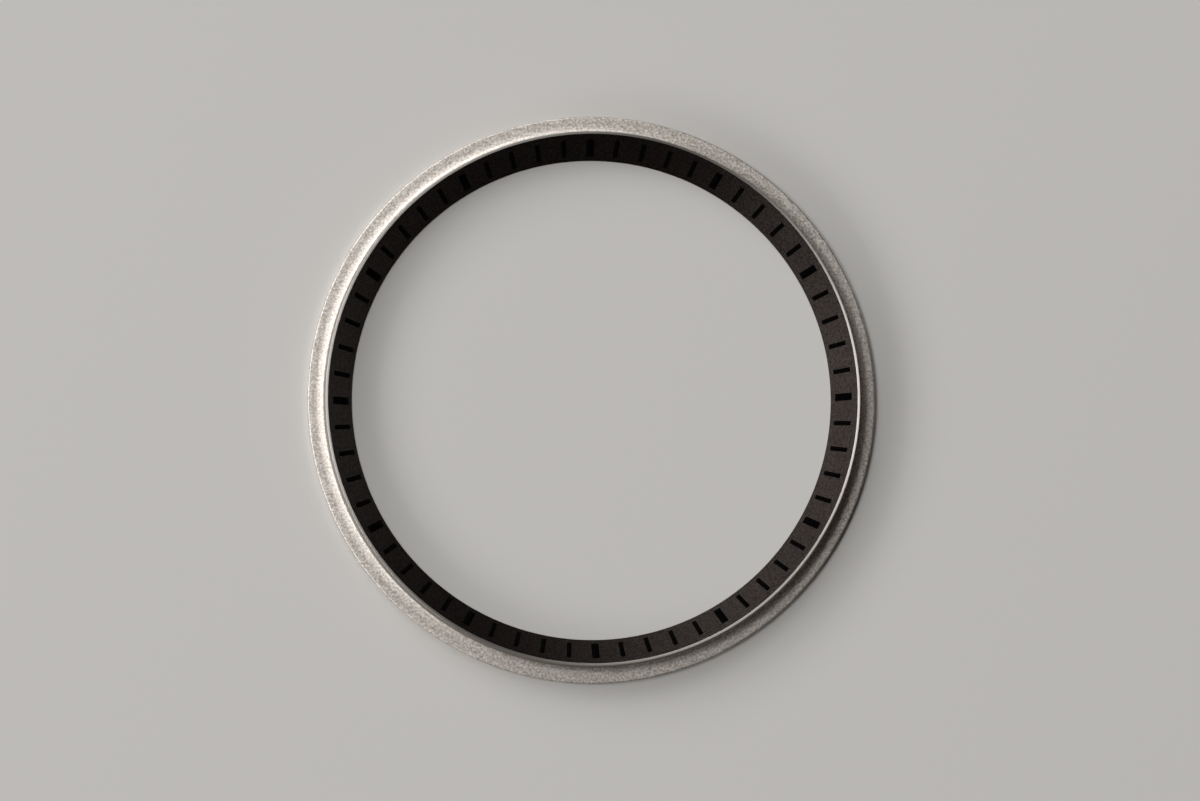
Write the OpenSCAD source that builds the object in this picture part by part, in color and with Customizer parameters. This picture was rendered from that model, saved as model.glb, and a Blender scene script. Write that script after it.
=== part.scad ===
// Chapter ring of a diver's watch: a turned steel ring that lies over the edge of the dial,
// with the 60 marks of the minute track printed on its sloping inner wall.
// Millimetres. The origin is the middle of the underside, +Z leaves the dial towards the
// crystal, and +Y points to 12 o'clock.

/* [Ring body] */
// Diameter over the flange at the foot of the ring
flange_d = 30.5; // [28:0.1:36]
// Thickness of the flange
flange_t = 0.45; // [0.35:0.05:0.8]
// How far the flange stands out past the crest
flange_w = 0.95; // [0.7:0.05:1.5]
// Radius that breaks the upper outer edge of the flange
flange_edge_r = 0.17; // [0.05:0.01:0.3]
// Height of the whole ring, from the dial to the crest
ring_h = 1.9; // [1.5:0.05:2.6]
// Angle by which the body's outer wall leans in from upright, in degrees
body_draft = 4; // [0.5:0.5:6]
// Radius of the cove where the body meets the flange
cove_r = 0.27; // [0.05:0.01:0.3]
// Width of the flat land that runs round the crest
crest_w = 0.16; // [0.08:0.01:0.4]
// Width of the sloping wall, seen from above, from the crest in to the window
wall_w = 1.24; // [0.9:0.02:2]
// Height of the upright edge round the window, under the sloping wall
window_edge_h = 0.08; // [0.04:0.01:0.3]

/* [Minute track] */
// Distance up the slope from the window's edge to the feet of the marks
mark_gap = 0.38; // [0.1:0.02:0.5]
// Length of every mark, up the slope
mark_l = 1.34; // [0.6:0.02:1.4]
// Width of the mark at each of the 12 hours
hour_mark_w = 0.39; // [0.3:0.01:0.7]
// Width of the marks at the minutes between two hours
minute_mark_w = 0.24; // [0.1:0.01:0.29]
// Thickness of the printed lacquer
mark_t = 0.03; // [0.01:0.005:0.06]

/* [Hidden] */
$fn = 180;
HOURS = 12;
MINUTES_PER_HOUR = 5;
MINUTES = HOURS * MINUTES_PER_HOUR;

// Radii from the rim inwards: flange, crest's outer edge, crest's inner edge, window
flange_r = flange_d / 2;
body_r = flange_r - flange_w;
crest_r = body_r - crest_w;
window_r = crest_r - wall_w;

// The outer wall leans out as it goes down, so it meets the flange a little further out
foot_r = body_r + (ring_h - flange_t) * tan(body_draft);

// Middle of the cove's arc, which touches both the leaning wall and the top of the flange
cove_mid = [foot_r + cove_r * (1 - sin(body_draft)) / cos(body_draft), flange_t + cove_r];
cove_top = cove_mid - cove_r * [cos(body_draft), sin(body_draft)];

wall_slope = atan2(ring_h - window_edge_h, wall_w);

STEEL = "#9b968e";
LACQUER = "#0b0b0b";

function two_digits(n) = str(n < 10 ? "0" : "", n);

// Names of the pieces: the mark at hour h, and the four marks between it and the next hour
function hour_name(h) = str("hour_mark_", two_digits(h == 0 ? HOURS : h));
function first_minute(h) = h * MINUTES_PER_HOUR + 1;
function last_minute(h) = (h + 1) * MINUTES_PER_HOUR - 1;
function minutes_name(h) =
    str("minute_marks_", two_digits(first_minute(h)), "_to_", two_digits(last_minute(h)));

// Point of the section, a given distance up the sloping wall and lifted off it towards the axis
function on_wall(up, lift) = [
    window_r + up * cos(wall_slope) - lift * sin(wall_slope),
    window_edge_h + up * sin(wall_slope) + lift * cos(wall_slope)
];

// Section of the ring with sharp edges: flange, leaning outer wall, crest and sloping wall
module sharp_section() {
    polygon([
        [window_r, 0],
        [flange_r, 0],
        [flange_r, flange_t],
        [foot_r, flange_t],
        [body_r, ring_h],
        [crest_r, ring_h],
        [window_r, window_edge_h]
    ]);
}

// What the cove adds in the corner between the outer wall and the flange
module cove_section() {
    difference() {
        polygon([[crest_r, flange_t / 2], [cove_mid.x, flange_t / 2], cove_mid, cove_top]);
        translate(cove_mid) circle(cove_r);
    }
}

// What the rounding takes off the flange's upper outer edge
module edge_waste() {
    translate([flange_r - flange_edge_r, flange_t - flange_edge_r])
        difference() {
            square(2 * flange_edge_r);
            circle(flange_edge_r);
        }
}

module ring_body() {
    color(STEEL)
        rotate_extrude()
            difference() {
                union() {
                    sharp_section();
                    cove_section();
                }
                edge_waste();
            }
}

// Band of lacquer round the whole wall, from which the marks are cut
module track_band() {
    rotate_extrude()
        polygon([
            on_wall(mark_gap, 0),
            on_wall(mark_gap + mark_l, 0),
            on_wall(mark_gap + mark_l, mark_t),
            on_wall(mark_gap, mark_t)
        ]);
}

// One mark with parallel sides, at its place on the dial
module mark(minute, width) {
    color(LACQUER)
        rotate(-minute * 360 / MINUTES)
            intersection() {
                track_band();
                translate([-width / 2, 0, 0]) cube([width, flange_r, ring_h]);
            }
}

module hour_mark(h) {
    mark(h * MINUTES_PER_HOUR, hour_mark_w);
}

module minute_marks(h) {
    for (minute = [first_minute(h):last_minute(h)])
        mark(minute, minute_mark_w);
}

ring_body();
for (h = [0:HOURS - 1]) {
    hour_mark(h);
    minute_marks(h);
}
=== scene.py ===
import math

import bpy
from mathutils import Matrix, Vector


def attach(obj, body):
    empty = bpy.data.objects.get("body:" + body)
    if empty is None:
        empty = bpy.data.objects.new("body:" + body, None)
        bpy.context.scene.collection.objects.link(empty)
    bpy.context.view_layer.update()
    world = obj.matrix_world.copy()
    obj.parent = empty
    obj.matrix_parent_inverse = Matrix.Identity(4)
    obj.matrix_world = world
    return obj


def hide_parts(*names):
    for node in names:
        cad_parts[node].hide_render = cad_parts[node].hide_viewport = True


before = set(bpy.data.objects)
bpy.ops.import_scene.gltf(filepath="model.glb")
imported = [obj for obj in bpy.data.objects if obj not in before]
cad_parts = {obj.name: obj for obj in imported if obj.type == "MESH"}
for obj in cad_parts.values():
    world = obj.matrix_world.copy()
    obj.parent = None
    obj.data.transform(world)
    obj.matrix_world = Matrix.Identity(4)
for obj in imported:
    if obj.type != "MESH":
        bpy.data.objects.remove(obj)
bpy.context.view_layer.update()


# Ring body: one turning of stainless steel that lies over the edge of the dial, held down by the
# crystal. A low, very slightly hollow flange runs round its foot, then come a cove, an outer wall
# that leans in, a narrow crest and the sloping wall of the minute track.
MM = 0.001
RING_SIZES = {
    "Flange radius": 15.25 * MM,
    "Flange edge height": 0.462 * MM,
    "Knee radius": 14.74 * MM,
    "Knee height": 0.451 * MM,
    "Cove radius": 14.53 * MM,
    "Cove height": 0.49 * MM,
    "Foot radius": 14.401 * MM,
    "Foot height": 0.56 * MM,
    "Body radius": 14.30 * MM,
    "Crest radius": 14.165 * MM,
    "Crest inner height": 1.89 * MM,
    "Ring height": 1.9 * MM,
    "Window radius": 12.9 * MM,
    "Window edge height": 0.08 * MM,
    "Broken edge": 0.02 * MM,
    "Heel rounding": 0.06 * MM,
    "Flange rounding": 0.08 * MM,
    "Knee rounding": 1.4 * MM,
    "Cove rounding": 0.45 * MM,
    "Foot rounding": 0.08 * MM,
    "Crest rounding": 0.02 * MM,
    "Steps in a rounding": 9,
    "Steps round the ring": 720,
}


def add_node(tree, kind, inputs=None, **settings):
    """Adds a node with its settings. An input that is a socket is linked, any other is set."""
    node = tree.nodes.new(kind)
    for name, value in settings.items():
        setattr(node, name, value)
    for key, value in (inputs or {}).items():
        if isinstance(value, bpy.types.NodeSocket):
            tree.links.new(value, node.inputs[key])
        else:
            node.inputs[key].default_value = value
    return node


def linear(hex_code):
    """Linear RGBA of a colour written as sRGB hex."""
    channels = [int(hex_code[i:i + 2], 16) / 255 for i in (1, 3, 5)]
    return [c / 12.92 if c <= 0.04045 else ((c + 0.055) / 1.055) ** 2.4 for c in channels] + [1.0]


def open_material(name):
    """An empty material, its node tree, its shader and its place on the piece."""
    material = bpy.data.materials.new(name)
    material.use_nodes = True
    tree = material.node_tree
    place = add_node(tree, "ShaderNodeTexCoord").outputs["Object"]
    return material, tree, tree.nodes["Principled BSDF"], place


def open_tree(name, sizes):
    """A Geometry Nodes tree with a named input for each size, and the sockets where they arrive."""
    tree = bpy.data.node_groups.new(name, "GeometryNodeTree")
    tree.interface.new_socket("Mesh", in_out="OUTPUT", socket_type="NodeSocketGeometry")
    for label, value in sizes.items():
        kind = "NodeSocketInt" if isinstance(value, int) else "NodeSocketFloat"
        tree.interface.new_socket(label, in_out="INPUT", socket_type=kind)
    return tree, tree.nodes.new("NodeGroupInput").outputs


def make_piece(name, tree, sizes):
    """The plain mesh that the tree makes from these sizes, as an object at the origin."""
    piece = bpy.data.objects.new(name, bpy.data.meshes.new(name))
    bpy.context.scene.collection.objects.link(piece)
    shape = piece.modifiers.new("shape", "NODES")
    shape.node_group = tree
    for item in tree.interface.items_tree:
        if item.in_out == "INPUT":
            shape[item.identifier] = sizes[item.name]
    piece.modifiers.new("even_shading", "WEIGHTED_NORMAL")
    ready = piece.evaluated_get(bpy.context.evaluated_depsgraph_get())
    mesh = bpy.data.meshes.new_from_object(ready)
    piece.modifiers.clear()
    piece.data = mesh
    return piece


# Bead-blasted stainless steel: glass beads leave a fine satin of overlapping dimples, so the
# metal scatters its reflections and shows a salt and pepper speckle, warmer where it is darker.
# The steep outer wall gets painted shade: its colour is darkened to 0.38 of the flange's, standing in
# for the shade it lies in. Real dimples are about 0.05 mm across: they are drawn coarser, as wide as
# the speckle that can be seen.
DIMPLE_WIDTH = 0.12 * MM
DIMPLE_DEPTH = 0.01 * MM
HANDLING_WIDTH = 0.7 * MM
OUTER_WALL_PAINTED_SHADE = 0.38
blasted_steel, tree, shader, place = open_material("blasted_steel")
peening = add_node(tree, "ShaderNodeTexNoise", {
    "Vector": place, "Scale": 1 / DIMPLE_WIDTH, "Detail": 2.0, "Roughness": 0.6}).outputs["Fac"]
speckle = add_node(tree, "ShaderNodeMapRange", {
    "Value": peening, "From Min": 0.3, "From Max": 0.7}).outputs["Result"]
tint = add_node(tree, "ShaderNodeMix", {
    0: speckle, 6: linear("#AEA49A"), 7: linear("#EFEAE4")}, data_type="RGBA").outputs[2]
handling = add_node(tree, "ShaderNodeTexNoise", {
    "Vector": place, "Scale": 1 / HANDLING_WIDTH, "Detail": 2.0}).outputs["Fac"]
handled = add_node(tree, "ShaderNodeMapRange", {
    "Value": handling, "From Min": 0.3, "From Max": 0.7, "To Min": 0.92, "To Max": 1.0})
flat = add_node(tree, "ShaderNodeVectorMath", {0: place, 1: (1, 1, 0)}, operation="MULTIPLY")
radius = add_node(tree, "ShaderNodeVectorMath", {0: flat.outputs["Vector"]}, operation="LENGTH")
# Painted shade: inside the foot radius the colour falls to 0.38, darkening the steep outer wall as if
# in shade.
painted_outer_wall_shade = add_node(tree, "ShaderNodeMapRange", {
    "Value": radius.outputs["Value"], "From Min": RING_SIZES["Foot radius"] - 0.02 * MM,
    "From Max": RING_SIZES["Foot radius"] + 0.01 * MM,
    "To Min": OUTER_WALL_PAINTED_SHADE, "To Max": 1.0})
brightness = add_node(tree, "ShaderNodeMath", {
    0: handled.outputs["Result"], 1: painted_outer_wall_shade.outputs["Result"]}, operation="MULTIPLY")
colour = add_node(tree, "ShaderNodeVectorMath", {
    0: tint, "Scale": brightness.outputs["Value"]}, operation="SCALE").outputs["Vector"]
satin = add_node(tree, "ShaderNodeMapRange", {
    "Value": speckle, "To Min": 0.43, "To Max": 0.57})
dimples = add_node(tree, "ShaderNodeBump", {
    "Height": peening, "Strength": 0.4, "Distance": DIMPLE_DEPTH})
shader.inputs["Metallic"].default_value = 1.0
tree.links.new(colour, shader.inputs["Base Color"])
tree.links.new(satin.outputs["Result"], shader.inputs["Roughness"])
tree.links.new(dimples.outputs["Normal"], shader.inputs["Normal"])

# Turned steel: the crest and the flat seat under the ring are cut clean after blasting, so they
# stay smoother, and their fine grooves draw each highlight out into a fan across them.
turned_steel, tree, shader, place = open_material("turned_steel")
shader.inputs["Metallic"].default_value = 1.0
shader.inputs["Base Color"].default_value = linear("#CBC7C1")
shader.inputs["Roughness"].default_value = 0.40
shader.inputs["Anisotropic"].default_value = 0.8
over_grooves = add_node(tree, "ShaderNodeVectorMath", {0: place, 1: (1, 1, 0)}, operation="MULTIPLY")
tree.links.new(over_grooves.outputs["Vector"], shader.inputs["Tangent"])

# Sloping wall, turned like the crest: its dark grey brown is partly the steel's own darker tone and
# partly painted shade. It lights up only where it faces the light and is nearly black elsewhere.
wall_tone_and_shade, tree, shader, place = open_material("wall_tone_and_shade")
wall_grain = add_node(tree, "ShaderNodeTexNoise", {
    "Vector": place, "Scale": 1 / DIMPLE_WIDTH, "Detail": 2.0, "Roughness": 0.6}).outputs["Fac"]
patches = add_node(tree, "ShaderNodeMapRange", {
    "Value": wall_grain, "From Min": 0.35, "From Max": 0.65})
colour = add_node(tree, "ShaderNodeMix", {
    0: patches.outputs["Result"], 6: linear("#2F2927"), 7: linear("#4A4340")},
    data_type="RGBA").outputs[2]
tree.links.new(colour, shader.inputs["Base Color"])
wall_dimples = add_node(tree, "ShaderNodeBump", {
    "Height": wall_grain, "Strength": 0.4, "Distance": DIMPLE_DEPTH})
tree.links.new(wall_dimples.outputs["Normal"], shader.inputs["Normal"])
shader.inputs["Metallic"].default_value = 1.0
shader.inputs["Roughness"].default_value = 0.6
shader.inputs["Anisotropic"].default_value = 1.0
over_grooves = add_node(tree, "ShaderNodeVectorMath", {0: place, 1: (1, 1, 0)}, operation="MULTIPLY")
tree.links.new(over_grooves.outputs["Vector"], shader.inputs["Tangent"])

# Section of the ring: its corners in order round it, each with its radius, height and rounding. It
# is swept round the axis, and each face takes its finish from where it lies and how it leans.
CREST_LEVEL = 0.6
SEAT_LEVEL = -0.6
WALL_LEAN = -0.45
tree, size = open_tree("turned_ring", RING_SIZES)
section_corners = [
    ("Window radius", None, "Broken edge"),
    ("Flange radius", None, "Heel rounding"),
    ("Flange radius", "Flange edge height", "Flange rounding"),
    ("Knee radius", "Knee height", "Knee rounding"),
    ("Cove radius", "Cove height", "Cove rounding"),
    ("Foot radius", "Foot height", "Foot rounding"),
    ("Body radius", "Ring height", "Crest rounding"),
    ("Crest radius", "Crest inner height", "Crest rounding"),
    ("Window radius", "Window edge height", "Broken edge"),
]
index = add_node(tree, "GeometryNodeInputIndex").outputs["Index"]
corner_place = add_node(tree, "GeometryNodeIndexSwitch", {"Index": index}, data_type="VECTOR")
corner_rounding = add_node(tree, "GeometryNodeIndexSwitch", {"Index": index}, data_type="FLOAT")
for number, (out, up, rounding) in enumerate(section_corners):
    for switch in (corner_place, corner_rounding):
        if len(switch.index_switch_items) <= number:
            switch.index_switch_items.new()
    point = add_node(tree, "ShaderNodeCombineXYZ", {"X": size[out]})
    if up:
        tree.links.new(size[up], point.inputs["Y"])
    tree.links.new(point.outputs["Vector"], corner_place.inputs[number + 1])
    tree.links.new(size[rounding], corner_rounding.inputs[number + 1])
points = add_node(tree, "GeometryNodePoints", {
    "Count": len(section_corners), "Position": corner_place.outputs["Output"]})
line = add_node(tree, "GeometryNodePointsToCurves", {"Points": points.outputs["Points"]})
closed = add_node(tree, "GeometryNodeSetSplineCyclic", {
    "Geometry": line.outputs["Curves"], "Cyclic": True})
section = add_node(tree, "GeometryNodeFilletCurve", {
    "Curve": closed.outputs["Geometry"], "Radius": corner_rounding.outputs["Output"],
    "Count": size["Steps in a rounding"], "Limit Radius": True}, mode="POLY")
path = add_node(tree, "GeometryNodeCurvePrimitiveCircle", {
    "Resolution": size["Steps round the ring"], "Radius": size["Window radius"]}, mode="RADIUS")
inwards = add_node(tree, "ShaderNodeMath", {0: size["Window radius"], 1: -1.0}, operation="MULTIPLY")
shift = add_node(tree, "ShaderNodeCombineXYZ", {"X": inwards.outputs["Value"]})
upright = add_node(tree, "GeometryNodeTransform", {
    "Geometry": section.outputs["Curve"], "Translation": shift.outputs["Vector"],
    "Rotation": (math.pi, 0, 0)})
lathe = add_node(tree, "GeometryNodeCurveToMesh", {
    "Curve": path.outputs["Curve"], "Profile Curve": upright.outputs["Geometry"]})
outwards = add_node(tree, "GeometryNodeFlipFaces", {"Mesh": lathe.outputs["Mesh"]})
position = add_node(tree, "GeometryNodeInputPosition").outputs["Position"]
normal = add_node(tree, "GeometryNodeInputNormal").outputs["Normal"]
facing = add_node(tree, "ShaderNodeSeparateXYZ", {"Vector": normal})
height = add_node(tree, "ShaderNodeSeparateXYZ", {"Vector": position}).outputs["Z"]
spoke = add_node(tree, "ShaderNodeVectorMath", {0: position, 1: (1, 1, 0)}, operation="MULTIPLY")
spoke = add_node(tree, "ShaderNodeVectorMath", {0: spoke.outputs["Vector"]}, operation="NORMALIZE")
lean = add_node(tree, "ShaderNodeVectorMath", {
    0: spoke.outputs["Vector"], 1: normal}, operation="DOT_PRODUCT").outputs["Value"]
shoulder = add_node(tree, "ShaderNodeMath", {
    0: size["Crest inner height"], 1: size["Crest rounding"]}, operation="SUBTRACT").outputs["Value"]
high = add_node(tree, "FunctionNodeCompare", {"A": height, "B": shoulder}, operation="GREATER_THAN")
faces_up = add_node(tree, "FunctionNodeCompare", {
    "A": facing.outputs["Z"], "B": CREST_LEVEL}, operation="GREATER_THAN")
on_crest = add_node(tree, "FunctionNodeBooleanMath", {
    0: high.outputs["Result"], 1: faces_up.outputs["Result"]}, operation="AND")
on_seat = add_node(tree, "FunctionNodeCompare", {
    "A": facing.outputs["Z"], "B": SEAT_LEVEL}, operation="LESS_THAN")
on_wall = add_node(tree, "FunctionNodeCompare", {"A": lean, "B": WALL_LEAN}, operation="LESS_THAN")
mesh = outwards.outputs["Mesh"]
for finish, where in ((blasted_steel, True), (turned_steel, on_crest.outputs["Boolean"]),
                      (turned_steel, on_seat.outputs["Result"]),
                      (wall_tone_and_shade, on_wall.outputs["Result"])):
    mesh = add_node(tree, "GeometryNodeSetMaterial", {
        "Geometry": mesh, "Selection": where, "Material": finish}).outputs["Geometry"]
whole = add_node(tree, "GeometryNodeRealizeInstances", {"Geometry": mesh})
add_node(tree, "NodeGroupOutput", {"Mesh": whole.outputs["Geometry"]})

ring = make_piece("turned_ring", tree, RING_SIZES)
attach(ring, "root")
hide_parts("ring_body")


# Marks of the minute track: 60 bars of black lacquer, printed on the sloping wall by a pad. Those
# at the 12 hours are wider. All stop short of the window and of the crest.
HOUR_MARK_WIDTH = 0.39 * MM
MINUTE_MARK_WIDTH = 0.24 * MM
WALL_SLOPE = math.atan2(
    RING_SIZES["Crest inner height"] - RING_SIZES["Window edge height"],
    RING_SIZES["Crest radius"] - RING_SIZES["Window radius"])
MARK_LENGTH = 1.34 * MM
MARK_GAP = 0.38 * MM
UP_TO_MIDDLE = MARK_GAP + MARK_LENGTH / 2
MARK_SIZES = {
    "Mark width": HOUR_MARK_WIDTH,
    "Mark length": MARK_LENGTH,
    "Lacquer thickness": 0.03 * MM,
    "Sunk": 0.01 * MM,
    "Corner rounding": 0.035 * MM,
    "Middle radius": RING_SIZES["Window radius"] + UP_TO_MIDDLE * math.cos(WALL_SLOPE),
    "Middle height": RING_SIZES["Window edge height"] + UP_TO_MIDDLE * math.sin(WALL_SLOPE),
    "Wall slope": WALL_SLOPE,
    "Marks in the track": 60,
    "Marks in an hour": 5,
    "At the hours": 1,
}

# Matt black lacquer: dense pigment that hides the steel and hardly shines.
PIGMENT_GRAIN = 0.08 * MM
black_lacquer, tree, shader, place = open_material("black_lacquer")
pigment = add_node(tree, "ShaderNodeTexNoise", {
    "Vector": place, "Scale": 1 / PIGMENT_GRAIN, "Detail": 2.0}).outputs["Fac"]
colour = add_node(tree, "ShaderNodeMix", {
    0: pigment, 6: linear("#020202"), 7: linear("#040303")}, data_type="RGBA").outputs[2]
tree.links.new(colour, shader.inputs["Base Color"])
orange_peel = add_node(tree, "ShaderNodeBump", {
    "Height": pigment, "Strength": 0.25, "Distance": 0.004 * MM})
tree.links.new(orange_peel.outputs["Normal"], shader.inputs["Normal"])
shader.inputs["Roughness"].default_value = 0.7
shader.inputs["Specular IOR Level"].default_value = 0.01

# One mark is a thin bar with rounded corners, laid on the slope at 12 o'clock and sunk a little into
# it. It stands at each of its places round the track.
STEPS_IN_A_CORNER = 4
SEAM = 0.0001 * MM
tree, size = open_tree("printed_marks", MARK_SIZES)
bar = add_node(tree, "GeometryNodeCurvePrimitiveQuadrilateral", {
    "Width": size["Mark width"], "Height": size["Mark length"]}, mode="RECTANGLE")
bar = add_node(tree, "GeometryNodeFilletCurve", {
    "Curve": bar.outputs["Curve"], "Radius": size["Corner rounding"],
    "Count": STEPS_IN_A_CORNER}, mode="POLY")
patch = add_node(tree, "GeometryNodeFillCurve", {"Curve": bar.outputs["Curve"]}, mode="NGONS")
depth = add_node(tree, "ShaderNodeMath", {
    0: size["Lacquer thickness"], 1: size["Sunk"]}, operation="ADD").outputs["Value"]
film = add_node(tree, "GeometryNodeExtrudeMesh", {
    "Mesh": patch.outputs["Mesh"], "Offset Scale": depth}, mode="FACES")
back = add_node(tree, "GeometryNodeFlipFaces", {"Mesh": patch.outputs["Mesh"]})
both = add_node(tree, "GeometryNodeJoinGeometry")
tree.links.new(film.outputs["Mesh"], both.inputs["Geometry"])
tree.links.new(back.outputs["Mesh"], both.inputs["Geometry"])
solid = add_node(tree, "GeometryNodeMergeByDistance", {
    "Geometry": both.outputs["Geometry"], "Distance": SEAM})
below = add_node(tree, "ShaderNodeMath", {0: size["Sunk"], 1: -1.0}, operation="MULTIPLY")
lowered = add_node(tree, "ShaderNodeCombineXYZ", {"Z": below.outputs["Value"]})
solid = add_node(tree, "GeometryNodeTransform", {
    "Geometry": solid.outputs["Geometry"], "Translation": lowered.outputs["Vector"]})
middle = add_node(tree, "ShaderNodeCombineXYZ", {
    "Y": size["Middle radius"], "Z": size["Middle height"]})
slope = add_node(tree, "ShaderNodeCombineXYZ", {"X": size["Wall slope"]})
mark = add_node(tree, "GeometryNodeTransform", {
    "Geometry": solid.outputs["Geometry"], "Translation": middle.outputs["Vector"],
    "Rotation": slope.outputs["Vector"]})
minute = add_node(tree, "GeometryNodeInputIndex").outputs["Index"]
past_hour = add_node(tree, "ShaderNodeMath", {
    0: minute, 1: size["Marks in an hour"]}, operation="MODULO").outputs["Value"]
is_hour = add_node(tree, "FunctionNodeCompare", {"A": past_hour, "B": 0.5}, operation="LESS_THAN")
wanted = add_node(tree, "FunctionNodeBooleanMath", {
    0: is_hour.outputs["Result"], 1: size["At the hours"]}, operation="XNOR")
step = add_node(tree, "ShaderNodeMath", {
    0: -math.tau, 1: size["Marks in the track"]}, operation="DIVIDE").outputs["Value"]
angle = add_node(tree, "ShaderNodeMath", {0: minute, 1: step}, operation="MULTIPLY").outputs["Value"]
turn = add_node(tree, "ShaderNodeCombineXYZ", {"Z": angle})
minutes = add_node(tree, "GeometryNodePoints", {"Count": size["Marks in the track"]})
track = add_node(tree, "GeometryNodeInstanceOnPoints", {
    "Points": minutes.outputs["Points"], "Selection": wanted.outputs["Boolean"],
    "Instance": mark.outputs["Geometry"], "Rotation": turn.outputs["Vector"]})
track = add_node(tree, "GeometryNodeRealizeInstances", {"Geometry": track.outputs["Instances"]})
track = add_node(tree, "GeometryNodeSetMaterial", {
    "Geometry": track.outputs["Geometry"], "Material": black_lacquer})
add_node(tree, "NodeGroupOutput", {"Mesh": track.outputs["Geometry"]})

hour_marks = make_piece("hour_marks", tree, MARK_SIZES)
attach(hour_marks, "root")
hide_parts(*[f"hour_mark_{hour:02d}" for hour in range(1, 13)])

minute_sizes = MARK_SIZES | {"Mark width": MINUTE_MARK_WIDTH, "At the hours": 0}
minute_marks = make_piece("minute_marks", tree, minute_sizes)
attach(minute_marks, "root")
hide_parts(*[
    f"minute_marks_{first:02d}_to_{first + 3:02d}" for first in range(1, 60, 5)])


# Table top: a plain pale sheet under the ring, large enough to fill every view.
HALF_SHEET = 4.0
sheet_corners = [(x * HALF_SHEET, y * HALF_SHEET, 0) for x, y in ((-1, -1), (1, -1), (1, 1), (-1, 1))]
mesh = bpy.data.meshes.new("table_top")
mesh.from_pydata(sheet_corners, [], [(0, 1, 2, 3)])
table_top = bpy.data.objects.new("table_top", mesh)
bpy.context.scene.collection.objects.link(table_top)
sheet, tree, shader, place = open_material("pale_sheet")
shader.inputs["Base Color"].default_value = linear("#C4C2BF")
shader.inputs["Roughness"].default_value = 0.9
shader.inputs["Specular IOR Level"].default_value = 0.1
mesh.materials.append(sheet)


# Studio: three long, low softboxes in a row to the left, two more above them, and a dim room
# round them.
def towards(azimuth, elevation):
    """Direction from the ring, from degrees round from +X and degrees above the table."""
    a, e = math.radians(azimuth), math.radians(elevation)
    return Vector((math.cos(a) * math.cos(e), math.sin(a) * math.cos(e), math.sin(e)))


SOFTBOX_DISTANCE = 1.5
SOFTBOX_HEIGHT = 0.45
SOFTBOXES = [
    # name, azimuth, elevation, width in metres, energy in watts
    ("softbox_low_back", 128, 28, 1.15, 6.9),
    ("softbox_low_left", 170, 28, 1.15, 6.3),
    ("softbox_low_front", 212, 28, 1.15, 7.5),
    ("softbox_back", 107, 46, 1.0, 6.5),
    ("softbox_high", 170, 64, 0.62, 7.2),
]
for name, azimuth, elevation, width, energy in SOFTBOXES:
    softbox = bpy.data.lights.new(name, "AREA")
    softbox.shape = "RECTANGLE"
    softbox.size, softbox.size_y = width, SOFTBOX_HEIGHT
    softbox.energy = energy
    lamp = bpy.data.objects.new(name, softbox)
    aside = towards(azimuth, elevation)
    lamp.location = aside * SOFTBOX_DISTANCE
    lamp.rotation_euler = aside.to_track_quat("Z", "Y").to_euler()
    bpy.context.scene.collection.objects.link(lamp)

room = bpy.data.worlds.new("room")
room.use_nodes = True
bpy.context.scene.world = room
room.node_tree.nodes["Background"].inputs["Color"].default_value = linear("#FFE8D2")
room.node_tree.nodes["Background"].inputs["Strength"].default_value = 0.03
bpy.context.scene.view_settings.view_transform = "Standard"


# Camera: nearly straight above, leaning 5 degrees to the lower left, as in the photograph. The
# middle of the ring lies at this pixel of the 1200 by 801 frame.
DISTANCE = 274 * MM
LEAN = 4.94
LEAN_AZIMUTH = 226.9
ROLL = 0.63
PIXELS_PER_METRE = 18602
FRAME_WIDTH, FRAME_HEIGHT = 1200, 801
RING_PIXEL = (591.7, 399.85)
SENSOR = 36
lens = bpy.data.cameras.new("camera")
camera = bpy.data.objects.new("camera", lens)
bpy.context.scene.collection.objects.link(camera)
bpy.context.scene.camera = camera
lens.sensor_width = SENSOR
lens.lens = SENSOR / FRAME_WIDTH * PIXELS_PER_METRE * DISTANCE
lens.clip_start, lens.clip_end = 0.01, 20
back = towards(LEAN_AZIMUTH - ROLL, 90 - LEAN)
right = towards(90 - ROLL, 0).cross(back).normalized()
top = back.cross(right)
aim = right * (FRAME_WIDTH / 2 - RING_PIXEL[0]) / PIXELS_PER_METRE
aim -= top * (FRAME_HEIGHT / 2 - RING_PIXEL[1]) / PIXELS_PER_METRE
turn = Matrix((right, top, back)).transposed().to_4x4()
camera.matrix_world = Matrix.Translation(aim + back * DISTANCE) @ turn
